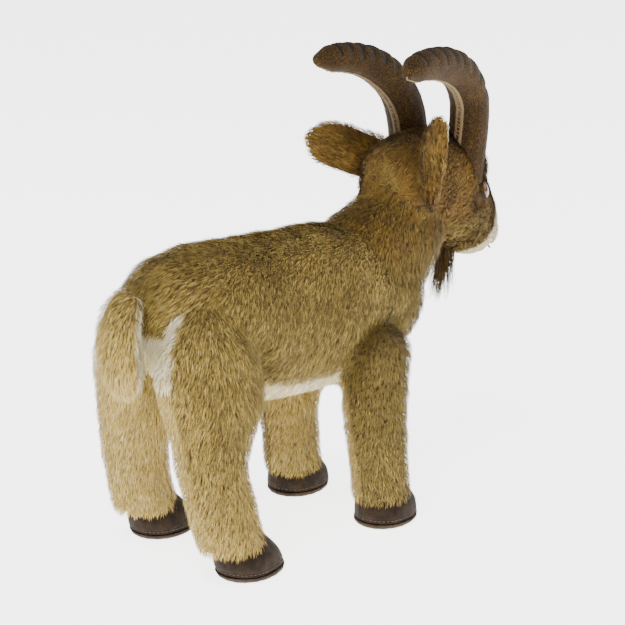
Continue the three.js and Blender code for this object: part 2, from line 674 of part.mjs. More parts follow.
// The form runs downwards, so half a turn from +X to -X covers the outer face.
add("tail_upper_panel", shape(solid(TAIL.panel(0.03, 0.98, 0.5 + halfSeam, 1 - halfSeam, 8, 8, TAIL_COAT))
  .subtract(torsoRoom)), GINGER, tail);
add("tail_under_panel", shape(solid(TAIL.panel(0.03, 0.98, halfSeam, 0.5 - halfSeam, 8, 8, TAIL_COAT))
  .subtract(torsoRoom)), CREAM, tail);
add("tail_filling", shape(solid(TAIL.body(0.12, 0.9, 6, 10, TAIL_COAT + 1))
  .subtract(torsoRoom)), FIBRE, tail);

toy.position.set(BODY_AT[0], BODY_AT[1], 0);

export default toy;
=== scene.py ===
"""A plush ibex: fur coats over padded skins, velour horns and ears, suede hooves and a hanging beard.

Metres, in the CAD frame: +Z up, the animal faces -Y and its own left is +X. Skins are grown from the CAD
panels, and the pile is real geometry: tapered blades combed along each panel, in a few plain shades a coat.
"""
import json
import math

import bmesh
import bpy
import numpy as np
from mathutils import Matrix, Vector
from mathutils.bvhtree import BVHTree
from mathutils.kdtree import KDTree


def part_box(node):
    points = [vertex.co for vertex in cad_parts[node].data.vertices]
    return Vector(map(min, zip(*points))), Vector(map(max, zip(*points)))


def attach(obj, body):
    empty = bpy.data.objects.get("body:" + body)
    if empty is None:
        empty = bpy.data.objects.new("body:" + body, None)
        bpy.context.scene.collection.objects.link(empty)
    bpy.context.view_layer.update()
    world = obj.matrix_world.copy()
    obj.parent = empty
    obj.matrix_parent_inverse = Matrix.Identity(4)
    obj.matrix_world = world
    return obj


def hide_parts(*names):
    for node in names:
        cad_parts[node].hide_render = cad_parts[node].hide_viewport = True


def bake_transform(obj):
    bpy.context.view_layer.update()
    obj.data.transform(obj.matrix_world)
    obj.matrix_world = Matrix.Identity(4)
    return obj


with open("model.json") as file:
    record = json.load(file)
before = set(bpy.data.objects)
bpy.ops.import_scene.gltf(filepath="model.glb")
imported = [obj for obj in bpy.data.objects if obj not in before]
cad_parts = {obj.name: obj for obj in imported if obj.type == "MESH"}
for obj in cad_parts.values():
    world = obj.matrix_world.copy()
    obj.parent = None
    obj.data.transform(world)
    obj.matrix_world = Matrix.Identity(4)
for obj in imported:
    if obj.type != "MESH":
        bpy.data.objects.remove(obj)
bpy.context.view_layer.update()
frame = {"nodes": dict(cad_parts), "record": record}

NODES = frame["nodes"]
JOINTS = {joint["name"]: joint for joint in frame["record"]["behaviour"]["joints"]}
MM = 0.001
PILE = 4.2 * MM  # how far the skin lies under the outside of the coat
CLOSE = 4 * MM  # gaps up to about twice this are closed over
VOXEL = 3 * MM
CUFF = 35.5 * MM  # the coat's lower edge on each leg, before it is drawn down over the hoof
CUFF_DRAWN = {"front": 16 * MM, "rear": 12.5 * MM}  # how far it is drawn down
FOLD = 7 * MM  # how far the coat is drawn in along a fold
SPINE = -2.75 * MM  # the body's middle plane, which isn't the box's because the head is turned
BLADE_WIDTH = 0.4 * MM
LOCK_AREA = 2.6e-6  # square metres of skin to each lock of pile
CLUMP = 0.6  # how far a blade leans to its lock, 1 is all the way
DROOP = 0.55  # the lift at a blade's tip, as a share of the lift at its root
SIDES = ("left", "right")
LEGS = ("front_left", "front_right", "rear_left", "rear_right")

# The head's own directions at rest: its left is the line that the beard swings about.
HEAD_LEFT = Vector(JOINTS["beard_swing"]["axis"]).normalized()
HEAD_FRONT = Vector((HEAD_LEFT.y, -HEAD_LEFT.x, 0))
HEAD_AT = Vector(JOINTS["head_turn"]["pos_m"])


def in_head(x, y, z):
    """A point given in mm in the head's frame: x to its left, y backwards, z up."""
    return HEAD_AT + (HEAD_LEFT * x - HEAD_FRONT * y + Vector((0, 0, z))) * MM


# ---------------------------------------------------------------- camera, light and floor

def add_camera():
    """The photograph's view: from behind the animal's right side and a little above it."""
    azimuth, elevation = math.radians(229), math.radians(16)
    distance, seen_width, sensor = 1.15, 0.45, 36
    target = Vector((0.0048, 0.0061, 0.150))
    back = Vector((math.sin(azimuth) * math.cos(elevation), -math.cos(azimuth) * math.cos(elevation),
                   math.sin(elevation)))
    camera = bpy.data.objects.new("camera", bpy.data.cameras.new("camera"))
    camera.data.sensor_width = sensor
    camera.data.lens = sensor * distance / seen_width
    camera.data.clip_end = 20
    camera.location = target + back * distance
    camera.rotation_euler = back.to_track_quat("Z", "Y").to_euler()
    bpy.context.collection.objects.link(camera)
    bpy.context.scene.camera = camera


def add_light(name, location, size, power, colour=(1, 1, 1)):
    """A round soft light that points at the middle of the animal."""
    data = bpy.data.lights.new(name, "AREA")
    data.shape = "DISK"
    data.size = size
    data.energy = power
    data.color = colour
    light = bpy.data.objects.new(name, data)
    light.location = location
    light.rotation_euler = (Vector(location) - Vector((0, 0, 0.15))).to_track_quat("Z", "Y").to_euler()
    bpy.context.collection.objects.link(light)


def add_studio():
    add_light("key", (-0.45, 0.95, 2.1), 1.0, 42, (1, 0.985, 0.95))
    add_light("fill", (1.5, 0.9, 1.2), 1.6, 11, (0.97, 0.985, 1))
    add_light("front", (-0.6, -1.6, 1.1), 1.4, 10)
    world = bpy.data.worlds.new("studio")
    world.use_nodes = True
    background = world.node_tree.nodes["Background"]
    background.inputs["Color"].default_value = (1, 1, 1, 1)
    background.inputs["Strength"].default_value = 0.42
    bpy.context.scene.world = world
    bm = bmesh.new()
    bmesh.ops.create_grid(bm, x_segments=1, y_segments=1, size=6)
    floor = link_bmesh("floor", bm)
    floor.location.z = -0.4 * MM
    white = plain("floor_white", (0.93, 0.93, 0.93), 0.9)
    shader = white.node_tree.nodes["Principled BSDF"]
    shader.inputs["Emission Color"].default_value = (1, 1, 1, 1)
    shader.inputs["Emission Strength"].default_value = 3.8
    floor.data.materials.append(white)


# ---------------------------------------------------------------- materials

def plain(name, colour, roughness, sheen=0.0, specular=0.5):
    material = bpy.data.materials.new(name)
    material.use_nodes = True
    shader = material.node_tree.nodes["Principled BSDF"]
    shader.inputs["Base Color"].default_value = (*colour, 1)
    shader.inputs["Roughness"].default_value = roughness
    shader.inputs["Specular IOR Level"].default_value = specular
    shader.inputs["Sheen Weight"].default_value = sheen
    shader.inputs["Sheen Roughness"].default_value = 0.4
    return material


class Nodes:
    """A procedural material, built one node at a time in object space."""

    def __init__(self, name, roughness=0.9, sheen=0.0, specular=0.4):
        self.material = plain(name, (0.5, 0.5, 0.5), roughness, sheen, specular)
        self.tree = self.material.node_tree
        self.shader = self.tree.nodes["Principled BSDF"]
        self.space = self.tree.nodes.new("ShaderNodeTexCoord").outputs["Object"]

    def node(self, kind, **inputs):
        node = self.tree.nodes.new(kind)
        for key, value in inputs.items():
            self.feed(node.inputs[int(key[1:]) if key[1:].isdigit() else key.replace("_", " ")], value)
        return node

    def feed(self, socket, value):
        if isinstance(value, bpy.types.NodeSocket):
            self.tree.links.new(value, socket)
        else:
            socket.default_value = value

    def noise(self, scale, detail=3, roughness=0.6):
        return self.node("ShaderNodeTexNoise", Vector=self.space, Scale=scale, Detail=detail,
                         Roughness=roughness).outputs[0]

    def cells(self, scale):
        return self.node("ShaderNodeTexVoronoi", Vector=self.space, Scale=scale).outputs["Distance"]

    def attribute(self, name):
        node = self.tree.nodes.new("ShaderNodeAttribute")
        node.attribute_name = name
        return node.outputs["Fac"]

    def ramp(self, value, *stops):
        node = self.node("ShaderNodeValToRGB", Fac=value)
        elements = node.color_ramp.elements
        while len(elements) < len(stops):
            elements.new(0.5)
        for element, (at, colour) in zip(elements, stops):
            element.position = at
            element.color = (*colour, 1)
        return node.outputs["Color"]

    def steps(self, value, *stops):
        return self.ramp(value, *[(at, (v, v, v)) for at, v in stops])

    def mix(self, factor, a, b, blend="MIX"):
        node = self.tree.nodes.new("ShaderNodeMix")
        node.data_type = "RGBA"
        node.blend_type = blend
        self.feed(node.inputs[0], factor)
        for socket, value in ((node.inputs[6], a), (node.inputs[7], b)):
            self.feed(socket, (*value, 1) if isinstance(value, tuple) else value)
        return node.outputs[2]

    def maths(self, operation, a, b=0.0):
        node = self.tree.nodes.new("ShaderNodeMath")
        node.operation = operation
        self.feed(node.inputs[0], a)
        self.feed(node.inputs[1], b)
        return node.outputs[0]

    def done(self, colour, roughness=None, height=None, depth=0.4 * MM):
        self.tree.links.new(colour, self.shader.inputs["Base Color"])
        if roughness is not None:
            self.tree.links.new(roughness, self.shader.inputs["Roughness"])
        if height is not None:
            bump = self.node("ShaderNodeBump", Height=height, Strength=0.8, Distance=depth)
            self.tree.links.new(bump.outputs["Normal"], self.shader.inputs["Normal"])
        return self.material


def grained(name, roughness, grain, dark, light, bumps, depth, sheen=0.0, metallic=0.0):
    """One stuff in two shades. grain and bumps are each the (scale, detail, ...) of a noise."""
    n = Nodes(name, roughness, sheen)
    n.shader.inputs["Metallic"].default_value = metallic
    return n.done(n.ramp(n.noise(*grain), (0.3, dark), (0.7, light)), height=n.noise(*bumps), depth=depth)


def backing_cloth(name, dark, light):
    """The knitted backing between the roots of the pile."""
    return grained(name, 0.95, (900, 4), dark, light, (1800, 2), 0.5 * MM)


def horn_velour(name, dark, mid, light):
    """Speckled velour with the horn's dark bands and the pale ridge of its inner seam."""
    band_colour, ridge_colour = (0.009, 0.006, 0.004), (0.27, 0.19, 0.10)
    n = Nodes(name, 0.9, sheen=0.06, specular=0.15)
    grain = n.noise(1500, 2, 0.7)
    patches = n.noise(70, 3)
    speckle = n.ramp(grain, (0.34, dark), (0.5, mid), (0.68, light))
    colour = n.mix(n.steps(patches, (0.35, 0.0), (0.7, 0.45)), speckle, dark)
    ragged = n.maths("MULTIPLY", n.maths("SUBTRACT", n.noise(260, 3), 0.5), 0.5)
    edge = n.maths("ADD", n.attribute("band"), ragged)
    colour = n.mix(n.steps(edge, (0.42, 0.0), (0.58, 0.93)), colour, band_colour)
    colour = n.mix(n.steps(n.attribute("ridge"), (0.35, 0.0), (0.75, 0.7)), colour, ridge_colour)
    return n.done(colour, n.steps(grain, (0.3, 0.75), (0.7, 0.95)), n.maths("ADD", grain, n.cells(1100)),
                  depth=0.45 * MM)


def suede(name, dark, light, painted_nap_sheen):
    """Napped cloth, with patches of a lighter third colour painted where the nap lies the other way: painted
    sheen.
    """
    n = Nodes(name, 0.9, sheen=0.04, specular=0.15)
    nap = n.noise(140, 4)
    fine = n.noise(1600, 3, 0.75)
    # Painted sheen: the coarse nap noise draws the colour toward the lighter third colour.
    colour = n.mix(n.steps(nap, (0.35, 0.0), (0.75, 0.8)), n.ramp(fine, (0.3, dark), (0.75, light)), painted_nap_sheen)
    return n.done(colour, n.steps(fine, (0.3, 0.65), (0.7, 0.95)), n.maths("ADD", fine, nap), depth=0.4 * MM)


def thread(name, colour):
    """Twisted sewing thread."""
    n = Nodes(name, 0.7, sheen=0.3)
    twist = n.node("ShaderNodeTexWave", Vector=n.space, Scale=900.0, Distortion=1.5).outputs["Fac"]
    lighter = tuple(min(c * 1.7 + 0.01, 1) for c in colour)
    return n.done(n.ramp(twist, (0.3, colour), (0.8, lighter)), height=twist, depth=0.15 * MM)


# ---------------------------------------------------------------- mesh helpers

def link(name, mesh):
    obj = bpy.data.objects.new(name, mesh)
    bpy.context.collection.objects.link(obj)
    return obj


def link_bmesh(name, bm):
    mesh = bpy.data.meshes.new(name)
    bm.to_mesh(mesh)
    bm.free()
    return link(name, mesh)


def vertex_data(mesh, what="co"):
    values = np.empty(len(mesh.vertices) * 3)
    mesh.vertices.foreach_get(what, values)
    return values.reshape(-1, 3)


def surface_of(points, mesh):
    """A surface to search: the faces of mesh, with its vertices at points."""
    return BVHTree.FromPolygons([Vector(p) for p in points], [tuple(face.vertices) for face in mesh.polygons])


def wear(obj, material):
    """The object takes this material and no other."""
    obj.data.materials.clear()
    obj.data.materials.append(material)


def apply_modifiers(obj):
    evaluated = obj.evaluated_get(bpy.context.evaluated_depsgraph_get())
    mesh = bpy.data.meshes.new_from_object(evaluated)
    old = obj.data
    obj.modifiers.clear()
    obj.data = mesh
    bpy.data.meshes.remove(old)


def modify(obj, *steps):
    for kind, settings in steps:
        modifier = obj.modifiers.new(kind, kind)
        for key, value in settings.items():
            setattr(modifier, key, value)
    apply_modifiers(obj)


def joined_copy(name, nodes, extra=()):
    bm = bmesh.new()
    for mesh in [NODES[node].data for node in nodes] + [obj.data for obj in extra]:
        bm.from_mesh(mesh)
    return link_bmesh(name, bm)


def soften(name, nodes, voxel, close=0.0, inset=0.0, rounds=6, extra=()):
    """One closed smooth skin round some CAD nodes: seam gaps are closed over and faceted edges rounded. The
    skin ends up inset under the outside of the nodes, and extra objects are taken in with them."""
    obj = joined_copy(name, nodes, extra)
    remesh = ("REMESH", {"mode": "VOXEL", "voxel_size": voxel})
    steps = [remesh]
    if close:
        steps += [("DISPLACE", {"strength": close, "mid_level": 0}), remesh]
    if close + inset:
        steps += [("SMOOTH", {"factor": 0.5, "iterations": 3}),
                  ("DISPLACE", {"strength": -(close + inset), "mid_level": 0})]
    steps += [("SMOOTH", {"factor": 0.5, "iterations": rounds})]
    modify(obj, *steps)
    for polygon in obj.data.polygons:
        polygon.use_smooth = True
    return obj


def tree_of(points):
    tree = KDTree(len(points))
    for k, point in enumerate(points):
        tree.insert(point, k)
    tree.balance()
    return tree


def nearest(points, nodes):
    """For each point, the index of the CAD node that it is nearest to."""
    trees = [surface_of([v.co for v in NODES[node].data.vertices], NODES[node].data) for node in nodes]
    best = np.zeros(len(points), int)
    for i, point in enumerate(points):
        closest = math.inf
        for k, tree in enumerate(trees):
            found = tree.find_nearest(point, closest)
            if found[0] is not None and found[3] < closest:
                closest = found[3]
                best[i] = k
    return best


def face_data(mesh):
    """The centre and the normal of every face."""
    centres, normals = np.empty(len(mesh.polygons) * 3), np.empty(len(mesh.polygons) * 3)
    mesh.polygons.foreach_get("center", centres)
    mesh.polygons.foreach_get("normal", normals)
    return centres.reshape(-1, 3), normals.reshape(-1, 3)


def part_of(obj, name, keep):
    """The faces of obj that keep marks, as a new object."""
    bm = bmesh.new()
    bm.from_mesh(obj.data)
    bm.faces.ensure_lookup_table()
    bmesh.ops.delete(bm, geom=[face for face, kept in zip(bm.faces, keep) if not kept], context="FACES")
    return link_bmesh(name, bm)


# ---------------------------------------------------------------- fur

def wobble(points, scale, seed, count=3):
    """Smooth noise about zero, of feature size 1/scale, as count columns."""
    rng = np.random.default_rng(seed)
    total = np.zeros((len(points), count))
    for _ in range(6):
        k = rng.normal(size=(3, count)) * scale * 2.2
        total += np.sin(points @ k + rng.uniform(0, 2 * math.pi, count))
    return total / 3.5


# Shades of pile, in linear light, roughly from near black to white.
SHADES = {
    "black": (0.012, 0.008, 0.006),
    "umber": (0.050, 0.030, 0.009),
    "brown": (0.105, 0.062, 0.013),
    "ginger": (0.195, 0.108, 0.020),
    "rust": (0.245, 0.132, 0.024),
    "olive": (0.165, 0.115, 0.024),
    "drab": (0.225, 0.162, 0.042),
    "tan": (0.350, 0.238, 0.054),
    "gold": (0.470, 0.332, 0.086),
    "straw": (0.590, 0.450, 0.160),
    "sand": (0.680, 0.560, 0.270),
    "cream": (0.780, 0.705, 0.440),
    "milk": (0.870, 0.835, 0.680),
}
SHADE_NAMES = list(SHADES)
fur_materials = {}

# Each coat's shades, root and tip together, with how often each pair comes. Roots are mostly darker than
# tips: partly the pile's own colour, partly painted shade deep in the pile.
COATS = {
    "back": [("umber", "drab", 2), ("brown", "tan", 3), ("olive", "tan", 4), ("drab", "gold", 6),
             ("tan", "straw", 2)],
    "flank": [("black", "olive", 2), ("umber", "olive", 5), ("brown", "drab", 5), ("olive", "tan", 4),
              ("umber", "gold", 2)],
    "shoulder": [("black", "brown", 2), ("black", "olive", 4), ("umber", "olive", 6), ("brown", "drab", 5),
                 ("umber", "tan", 2)],
    "lower": [("brown", "tan", 2), ("drab", "tan", 3), ("drab", "gold", 5), ("tan", "gold", 3),
              ("gold", "straw", 2)],
    "pale": [("drab", "gold", 2), ("tan", "straw", 4), ("gold", "straw", 4), ("straw", "sand", 3)],
    "head": [("umber", "brown", 2), ("umber", "ginger", 4), ("brown", "ginger", 4), ("brown", "rust", 3),
             ("ginger", "tan", 1)],
    "cheek": [("umber", "olive", 3), ("brown", "drab", 4), ("brown", "ginger", 3), ("olive", "tan", 2)],
    "cream": [("gold", "sand", 2), ("sand", "cream", 5), ("cream", "milk", 4)],
    "white": [("sand", "cream", 1), ("cream", "milk", 5), ("milk", "milk", 4)],
    "tail": [("ginger", "tan", 3), ("drab", "gold", 4), ("tan", "gold", 4), ("tan", "straw", 2)],
    "ear": [("umber", "brown", 3), ("umber", "ginger", 5), ("brown", "rust", 3), ("ginger", "tan", 1)],
}


def fur_material(shade):
    if shade not in fur_materials:
        fur_materials[shade] = plain(f"pile_{shade}", SHADES[shade], 0.75, sheen=0.05, specular=0.2)
    return fur_materials[shade]


def unit(v):
    return v / np.maximum(np.linalg.norm(v, axis=1, keepdims=True), 1e-9)


def scatter(mesh, density, rng):
    """Random points on a mesh at so many per square metre: (points, smooth normals)."""
    mesh.calc_loop_triangles()
    count = len(mesh.loop_triangles)
    corners = np.empty(count * 3, int)
    mesh.loop_triangles.foreach_get("vertices", corners)
    corners = corners.reshape(-1, 3)
    points, normals = vertex_data(mesh), vertex_data(mesh, "normal")
    a, b, c = (points[corners[:, k]] for k in range(3))
    areas = np.linalg.norm(np.cross(b - a, c - a), axis=1) / 2
    which = rng.choice(count, int(areas.sum() * density), p=areas / areas.sum())
    u, v = rng.random(len(which)), rng.random(len(which))
    flip = u + v > 1
    u[flip], v[flip] = 1 - u[flip], 1 - v[flip]
    weights = np.stack([1 - u - v, u, v], 1)[:, :, None]
    tri = corners[which]
    return (points[tri] * weights).sum(1), unit((normals[tri] * weights).sum(1))


def grow(name, skin, flow, look, density, seed, shift=None):
    """Pile on a skin. flow gives the way it is combed at each point, and look its length, its lift off the
    skin (0 lies flat, 1 stands up), and which coat it is from, as an array of names. shift darkens or
    lightens it."""
    rng = np.random.default_rng(seed)
    root, normal = scatter(skin.data, density, rng)
    length, lift, coat = look(root, normal)
    shaven = 0.4 * MM
    keep = length > shaven
    root, normal, length, lift, coat = root[keep], normal[keep], length[keep], lift[keep], coat[keep]
    total = len(root)
    comb = flow(root, normal)
    comb = comb + wobble(root, 55, seed + 1) * 0.26 + rng.normal(size=(total, 3)) * 0.13
    comb = unit(comb - normal * (comb * normal).sum(1, keepdims=True))
    length = length * rng.uniform(0.75, 1.12, total)
    rise = np.clip(lift + rng.normal(size=total) * 0.08, 0.04, 1)[:, None]
    start = unit(comb * (1 - rise) + normal * (rise + 0.25))
    finish = unit(comb * (1 - rise * DROOP) + normal * rise * DROOP)
    middle = root + start * length[:, None] * 0.45
    tip = middle + finish * length[:, None] * 0.55

    # Blades share a lock with their neighbours: its tips lean together and it keeps mostly to one shade.
    seeds = rng.choice(total, max(int(total / (density * LOCK_AREA)), 1), replace=False)
    tree = tree_of(root[seeds])
    owner = seeds[np.fromiter((tree.find(p)[1] for p in root), int, total)]
    offset = root[owner] - root
    offset -= normal * (offset * normal).sum(1, keepdims=True)
    pull = CLUMP * rng.uniform(0.5, 1.0, total)[:, None]
    middle += offset * pull * 0.35
    tip += offset * pull

    side = np.cross(finish, normal)
    side = unit(unit(side) + normal * rng.normal(size=total)[:, None] * 0.35)
    half = BLADE_WIDTH * rng.uniform(0.7, 1.25, total)[:, None] / 2
    points = np.stack([root - side * half * 0.8, root + side * half * 0.8,
                       middle + side * half, middle - side * half, tip], 1).reshape(-1, 3)
    face_normal = unit(np.cross(side, tip - root))
    face_normal *= np.sign((face_normal * normal).sum(1, keepdims=True) + 1e-6)
    shade_normal = unit(normal * 0.75 + face_normal * 0.4 + rng.normal(size=(total, 3)) * 0.1)

    # Shades run roughly from dark to light in each coat, so one smooth drift mottles the whole of it.
    speckle = rng.random(total)
    tone = 0.02 + 0.92 * (0.65 * speckle[owner] + 0.35 * speckle)
    tone += wobble(root, 34, 2, 1)[:, 0] * 0.12 + wobble(root, 95, 3, 1)[:, 0] * 0.10
    if shift is not None:
        tone += shift(root)
    # Roots take the darker shade of their pair: partly the pile's own colour, partly painted shade deep in
    # the pile.
    pairs = np.zeros((total, 2), int)
    for coat_name in np.unique(coat):
        options = COATS[coat_name]
        mask = coat == coat_name
        weights = np.cumsum([share for _, _, share in options]) / sum(share for _, _, share in options)
        chosen = np.searchsorted(weights, np.clip(tone[mask], 0, 0.9999))
        for column in (0, 1):
            pairs[mask, column] = np.array([SHADE_NAMES.index(option[column]) for option in options])[chosen]
    used = sorted(set(pairs.ravel().tolist()))
    slots = np.searchsorted(used, pairs)

    # Each blade has five points: a four-sided face from root to middle, and a triangle to the tip.
    base = np.arange(total)[:, None] * 5
    loops = np.concatenate([base + [0, 1, 2, 3], base + [3, 2, 4]], 1)
    starts = np.stack([np.arange(total) * 7, np.arange(total) * 7 + 4], 1)
    shades = [SHADE_NAMES[k] for k in used]
    return ribbons(name, points, loops, starts, slots, shades, np.repeat(shade_normal, 5, axis=0))


def ribbons(name, points, loops, starts, slots, shades, normals=None):
    """Blades as one mesh, from its points, its faces' corners and starts, and each face's shade."""
    mesh = bpy.data.meshes.new(name)
    mesh.vertices.add(len(points))
    mesh.vertices.foreach_set("co", points.ravel())
    mesh.loops.add(loops.size)
    mesh.loops.foreach_set("vertex_index", loops.ravel())
    mesh.polygons.add(starts.size)
    mesh.polygons.foreach_set("loop_start", starts.ravel())
    mesh.polygons.foreach_set("material_index", slots.ravel())
    mesh.polygons.foreach_set("use_smooth", np.ones(starts.size, bool))
    mesh.update(calc_edges=True)
    if normals is not None:
        mesh.normals_split_custom_set_from_vertices(normals)
    for shade in shades:
        mesh.materials.append(fur_material(shade))
    return link(name, mesh)


# ---------------------------------------------------------------- the coat: how it lies and looks

def smoothstep(x, low, high):
    t = np.clip((x - low) / (high - low), 0, 1)
    return t * t * (3 - 2 * t)


def same(points, value):
    """One value for every point."""
    return np.full(len(points), value)


def constant(v):
    """The same way at every point."""
    return lambda points, normals: np.tile(np.array(v, float), (len(points), 1))


def body_flow(points, normals):
    down = 0.25 + 0.75 * np.abs(normals[:, 0])
    return np.stack([np.zeros(len(points)), same(points, 0.9), -down], 1)


def rump_flow(points, normals):
    return np.stack([points[:, 0] * 8, same(points, 0.1), same(points, -1.0)], 1)


def head_flow(points, normals):
    back = -np.array(HEAD_FRONT)
    left = np.array(HEAD_LEFT)
    centre = np.array(in_head(0, -20, 20))
    across = (points - centre) @ left
    return back * 0.9 + left * across[:, None] * 9 + np.array([0, 0, -0.25])


leg_flow = constant((0, 0.18, -1.0))
tail_flow = constant((0, 0.15, -1.0))
EYES = [np.mean([np.array(corner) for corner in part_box(f"eye_{side}")], axis=0) for side in SIDES]


def pick(coats, shares, rng):
    """One coat name for each point, by the shares of each coat there."""
    shares = np.maximum(np.array(shares), 0)
    edges = np.cumsum(shares / shares.sum(0), axis=0)
    return np.array(coats)[(rng.random(shares.shape[1]) > edges).sum(0).clip(0, len(coats) - 1)]


def body_look(points, normals):
    rng = np.random.default_rng(71)
    y, z = points[:, 1], points[:, 2]
    drift = wobble(points, 30, 5, 1)[:, 0] * 0.02
    top = smoothstep(z + drift, 0.165, 0.215)
    front = smoothstep(-y + drift, 0.02, 0.07)
    shares = [top * (1 - front * 0.6) + 0.12, (1 - top) * (1 - front), front * (1 - top * 0.4)]
    coats = pick(["back", "flank", "shoulder"], shares, rng)
    return same(points, 8.2 * MM), same(points, 0.42), coats


def even_look(length, lift, coat):
    return lambda points, normals: (same(points, length), same(points, lift), same(points, coat))


def neck_look(points, normals):
    rng = np.random.default_rng(72)
    up = smoothstep(points[:, 2], 0.17, 0.225)
    coats = pick(["shoulder", "head", "cheek"], [1 - up * 0.7, up, 0.3 + 0 * up], rng)
    return same(points, 8 * MM), same(points, 0.44), coats


def head_look(points, normals):
    rng = np.random.default_rng(73)
    local = points - np.array(HEAD_AT)
    ahead = local @ np.array(HEAD_FRONT)
    height = local[:, 2]
    face = smoothstep(ahead, 0.045, 0.085)
    low = smoothstep(-height, -0.03, 0.0)
    length = (7.5 - 3.7 * face) * MM
    for eye in EYES:
        gap = np.linalg.norm(points - eye, axis=1)
        length = length * smoothstep(gap, 0.0080, 0.0165)
    coats = pick(["head", "cheek", "lower"], [1 - low * 0.8, 0.25 + low, 0.25 * face], rng)
    jaw = smoothstep(ahead, 0.0, 0.04) * smoothstep(-normals[:, 2], 0.0, 0.7)
    length = length + 3.5 * MM * jaw
    return length, 0.40 - 0.06 * face + 0.12 * jaw, coats


def muzzle_look(points, normals):
    seam = np.array([mouth_tree.find(p)[2] for p in points])
    nose_gap = np.linalg.norm(points - np.array(in_head(0, -112, -2)), axis=1)
    length = 4.2 * MM * (0.25 + 0.75 * smoothstep(seam, 0.0015, 0.006)) * smoothstep(nose_gap, 0.007, 0.013)
    return length, same(points, 0.3), same(points, "white")


def leg_look(rear, outer):
    def look(points, normals):
        rng = np.random.default_rng(74 + rear * 2 + outer)
        z = points[:, 2]
        low = smoothstep(-z + wobble(points, 40, 9, 1)[:, 0] * 0.012, -0.11, -0.045)
        behind = smoothstep(normals[:, 1], 0.1, 0.8)
        if outer:
            lower = 0.1 + low * 1.3 + behind * 0.8
            shares = ([0.25 + 0 * z, (1 - low) * 1.2, lower, behind * low * 0.8] if rear
                      else [0 * z, 0.9 + 0 * z, low * 0.12, 0 * z])
            coats = pick(["back", "flank" if rear else "shoulder", "lower", "pale"], shares, rng)
        else:
            shares = [1.0 + 0 * z, 0.6 * rear + 0 * z, 0.5 * (1 - rear) + 0 * z]
            coats = pick(["lower", "pale", "flank"], shares, rng)
        under = (normals[:, 2] < -0.6) & (z < 0.034)
        length = (8 - 1.2 * low) * MM * ~under
        if rear:
            edge = 0.68 if outer else 0.1
            level = smoothstep(z, 0.130, 0.150) * smoothstep(-z, -0.20, -0.185)
            patch = smoothstep(normals[:, 1], edge, edge + 0.3) * level
            coats[patch > 0.3 + 0.4 * rng.random(len(z))] = "cream"
        return length, 0.44 - 0.04 * low, coats
    return look


def tail_look(upper):
    def look(points, normals):
        rng = np.random.default_rng(77)
        tip = smoothstep(-points[:, 2], -0.16, -0.13)
        length = (8.0 + 3.5 * tip) * MM
        coats = (pick(["tail", "pale"], [1 - 0.3 * tip, 0.25 + tip * 0.4], rng) if upper
                 else same(points, "cream"))
        return length, same(points, 0.42), coats
    return look


# ---------------------------------------------------------------- sewn and moulded parts

def to_row(way):
    """A direction in the head's frame, in the row frame."""
    x, y, z = way
    return (HEAD_LEFT * x - HEAD_FRONT * y + Vector((0, 0, z))).normalized()


def smooth_line(points, per=24):
    """Points along a smooth line through some points."""
    p = np.array([2 * np.array(points[0]) - points[1], *points, 2 * np.array(points[-1]) - points[-2]])
    out = []
    for a, b, c, d in zip(p, p[1:], p[2:], p[3:]):
        for t in np.linspace(0, 1, per, endpoint=False):
            out.append(0.5 * (2 * b + (c - a) * t + (2 * a - 5 * b + 4 * c - d) * t ** 2
                              + (3 * b - a - 3 * c + d) * t ** 3))
    return np.array(out + [p[-2]])


def stitches(name, places, length, radius, material):
    """Short raised threads, each from (point, outward, along). Their ends go into the cloth."""
    rings, sides = 5, 6
    points, faces = [], []
    for point, out, along in places:
        out, along = Vector(out).normalized(), Vector(along).normalized()
        across = out.cross(along).normalized()
        first = len(points)
        for i in range(rings):
            t = i / (rings - 1)
            arch = math.sin(math.pi * t)
            centre = Vector(point) + along * length * (t - 0.5) + out * radius * (arch * 1.6 - 0.55)
            thick = radius * (0.45 + 0.55 * arch)
            for j in range(sides):
                angle = 2 * math.pi * j / sides
                points.append(centre + (across * math.cos(angle) + out * math.sin(angle)) * thick)
        for i in range(rings - 1):
            for j in range(sides):
                k = (j + 1) % sides
                a, b = first + i * sides, first + (i + 1) * sides
                faces.append((a + j, b + j, b + k, a + k))
        faces.append(tuple(first + j for j in range(sides)))
        faces.append(tuple(first + (rings - 1) * sides + j for j in reversed(range(sides))))
    mesh = bpy.data.meshes.new(name)
    mesh.from_pydata(points, [], faces)
    mesh.shade_smooth()
    mesh.materials.append(material)
    return link(name, mesh)


def set_attribute(mesh, name, values):
    mesh.attributes.new(name, "FLOAT", "POINT").data.foreach_set("value", np.asarray(values, float))


def finish_piece(piece, body, node, replaces=True):
    """The piece may replace a node, which is then hidden, and rides on the body if one is given. With no body
    it is placed later.
    """
    if replaces:
        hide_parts(node)
    if body:
        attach(piece, body)


def panels_of(skin, nodes, materials):
    """A skin cut into one piece for each CAD panel that it covers."""
    centres, _ = face_data(skin.data)
    owner = nearest(centres, nodes)
    pieces = {}
    for k, node in enumerate(nodes):
        piece = part_of(skin, f"skin_{node}", owner == k)
        wear(piece, materials[k])
        pieces[node] = piece
    bpy.data.objects.remove(skin)
    return pieces


# The line along the middle of each horn, in mm in the head's frame, as in the CAD.
HORNS = {
    "left": [(25, -40, 36), (25, -42, 52), (26, -44, 71), (27, -37, 93), (28, -20, 112), (30, 6, 126),
             (32, 36, 133), (34, 66, 133)],
    "right": [(-25, -40, 36), (-25, -42, 52), (-26, -45, 74), (-27, -44, 97), (-28, -30, 116), (-30, -2, 128),
              (-32, 30, 131), (-34, 57, 128)],
}
HORN_BANDS = (0.40, 0.475, 0.55, 0.62, 0.69, 0.76, 0.83, 0.90)  # shares of the horn's length
BAND_REACH = (0.1, -0.3, 0.3, -0.1)  # how far round the horn each band goes: 1 is its front, -1 its back
HORN_STITCHES = 68  # to the whole length of a horn


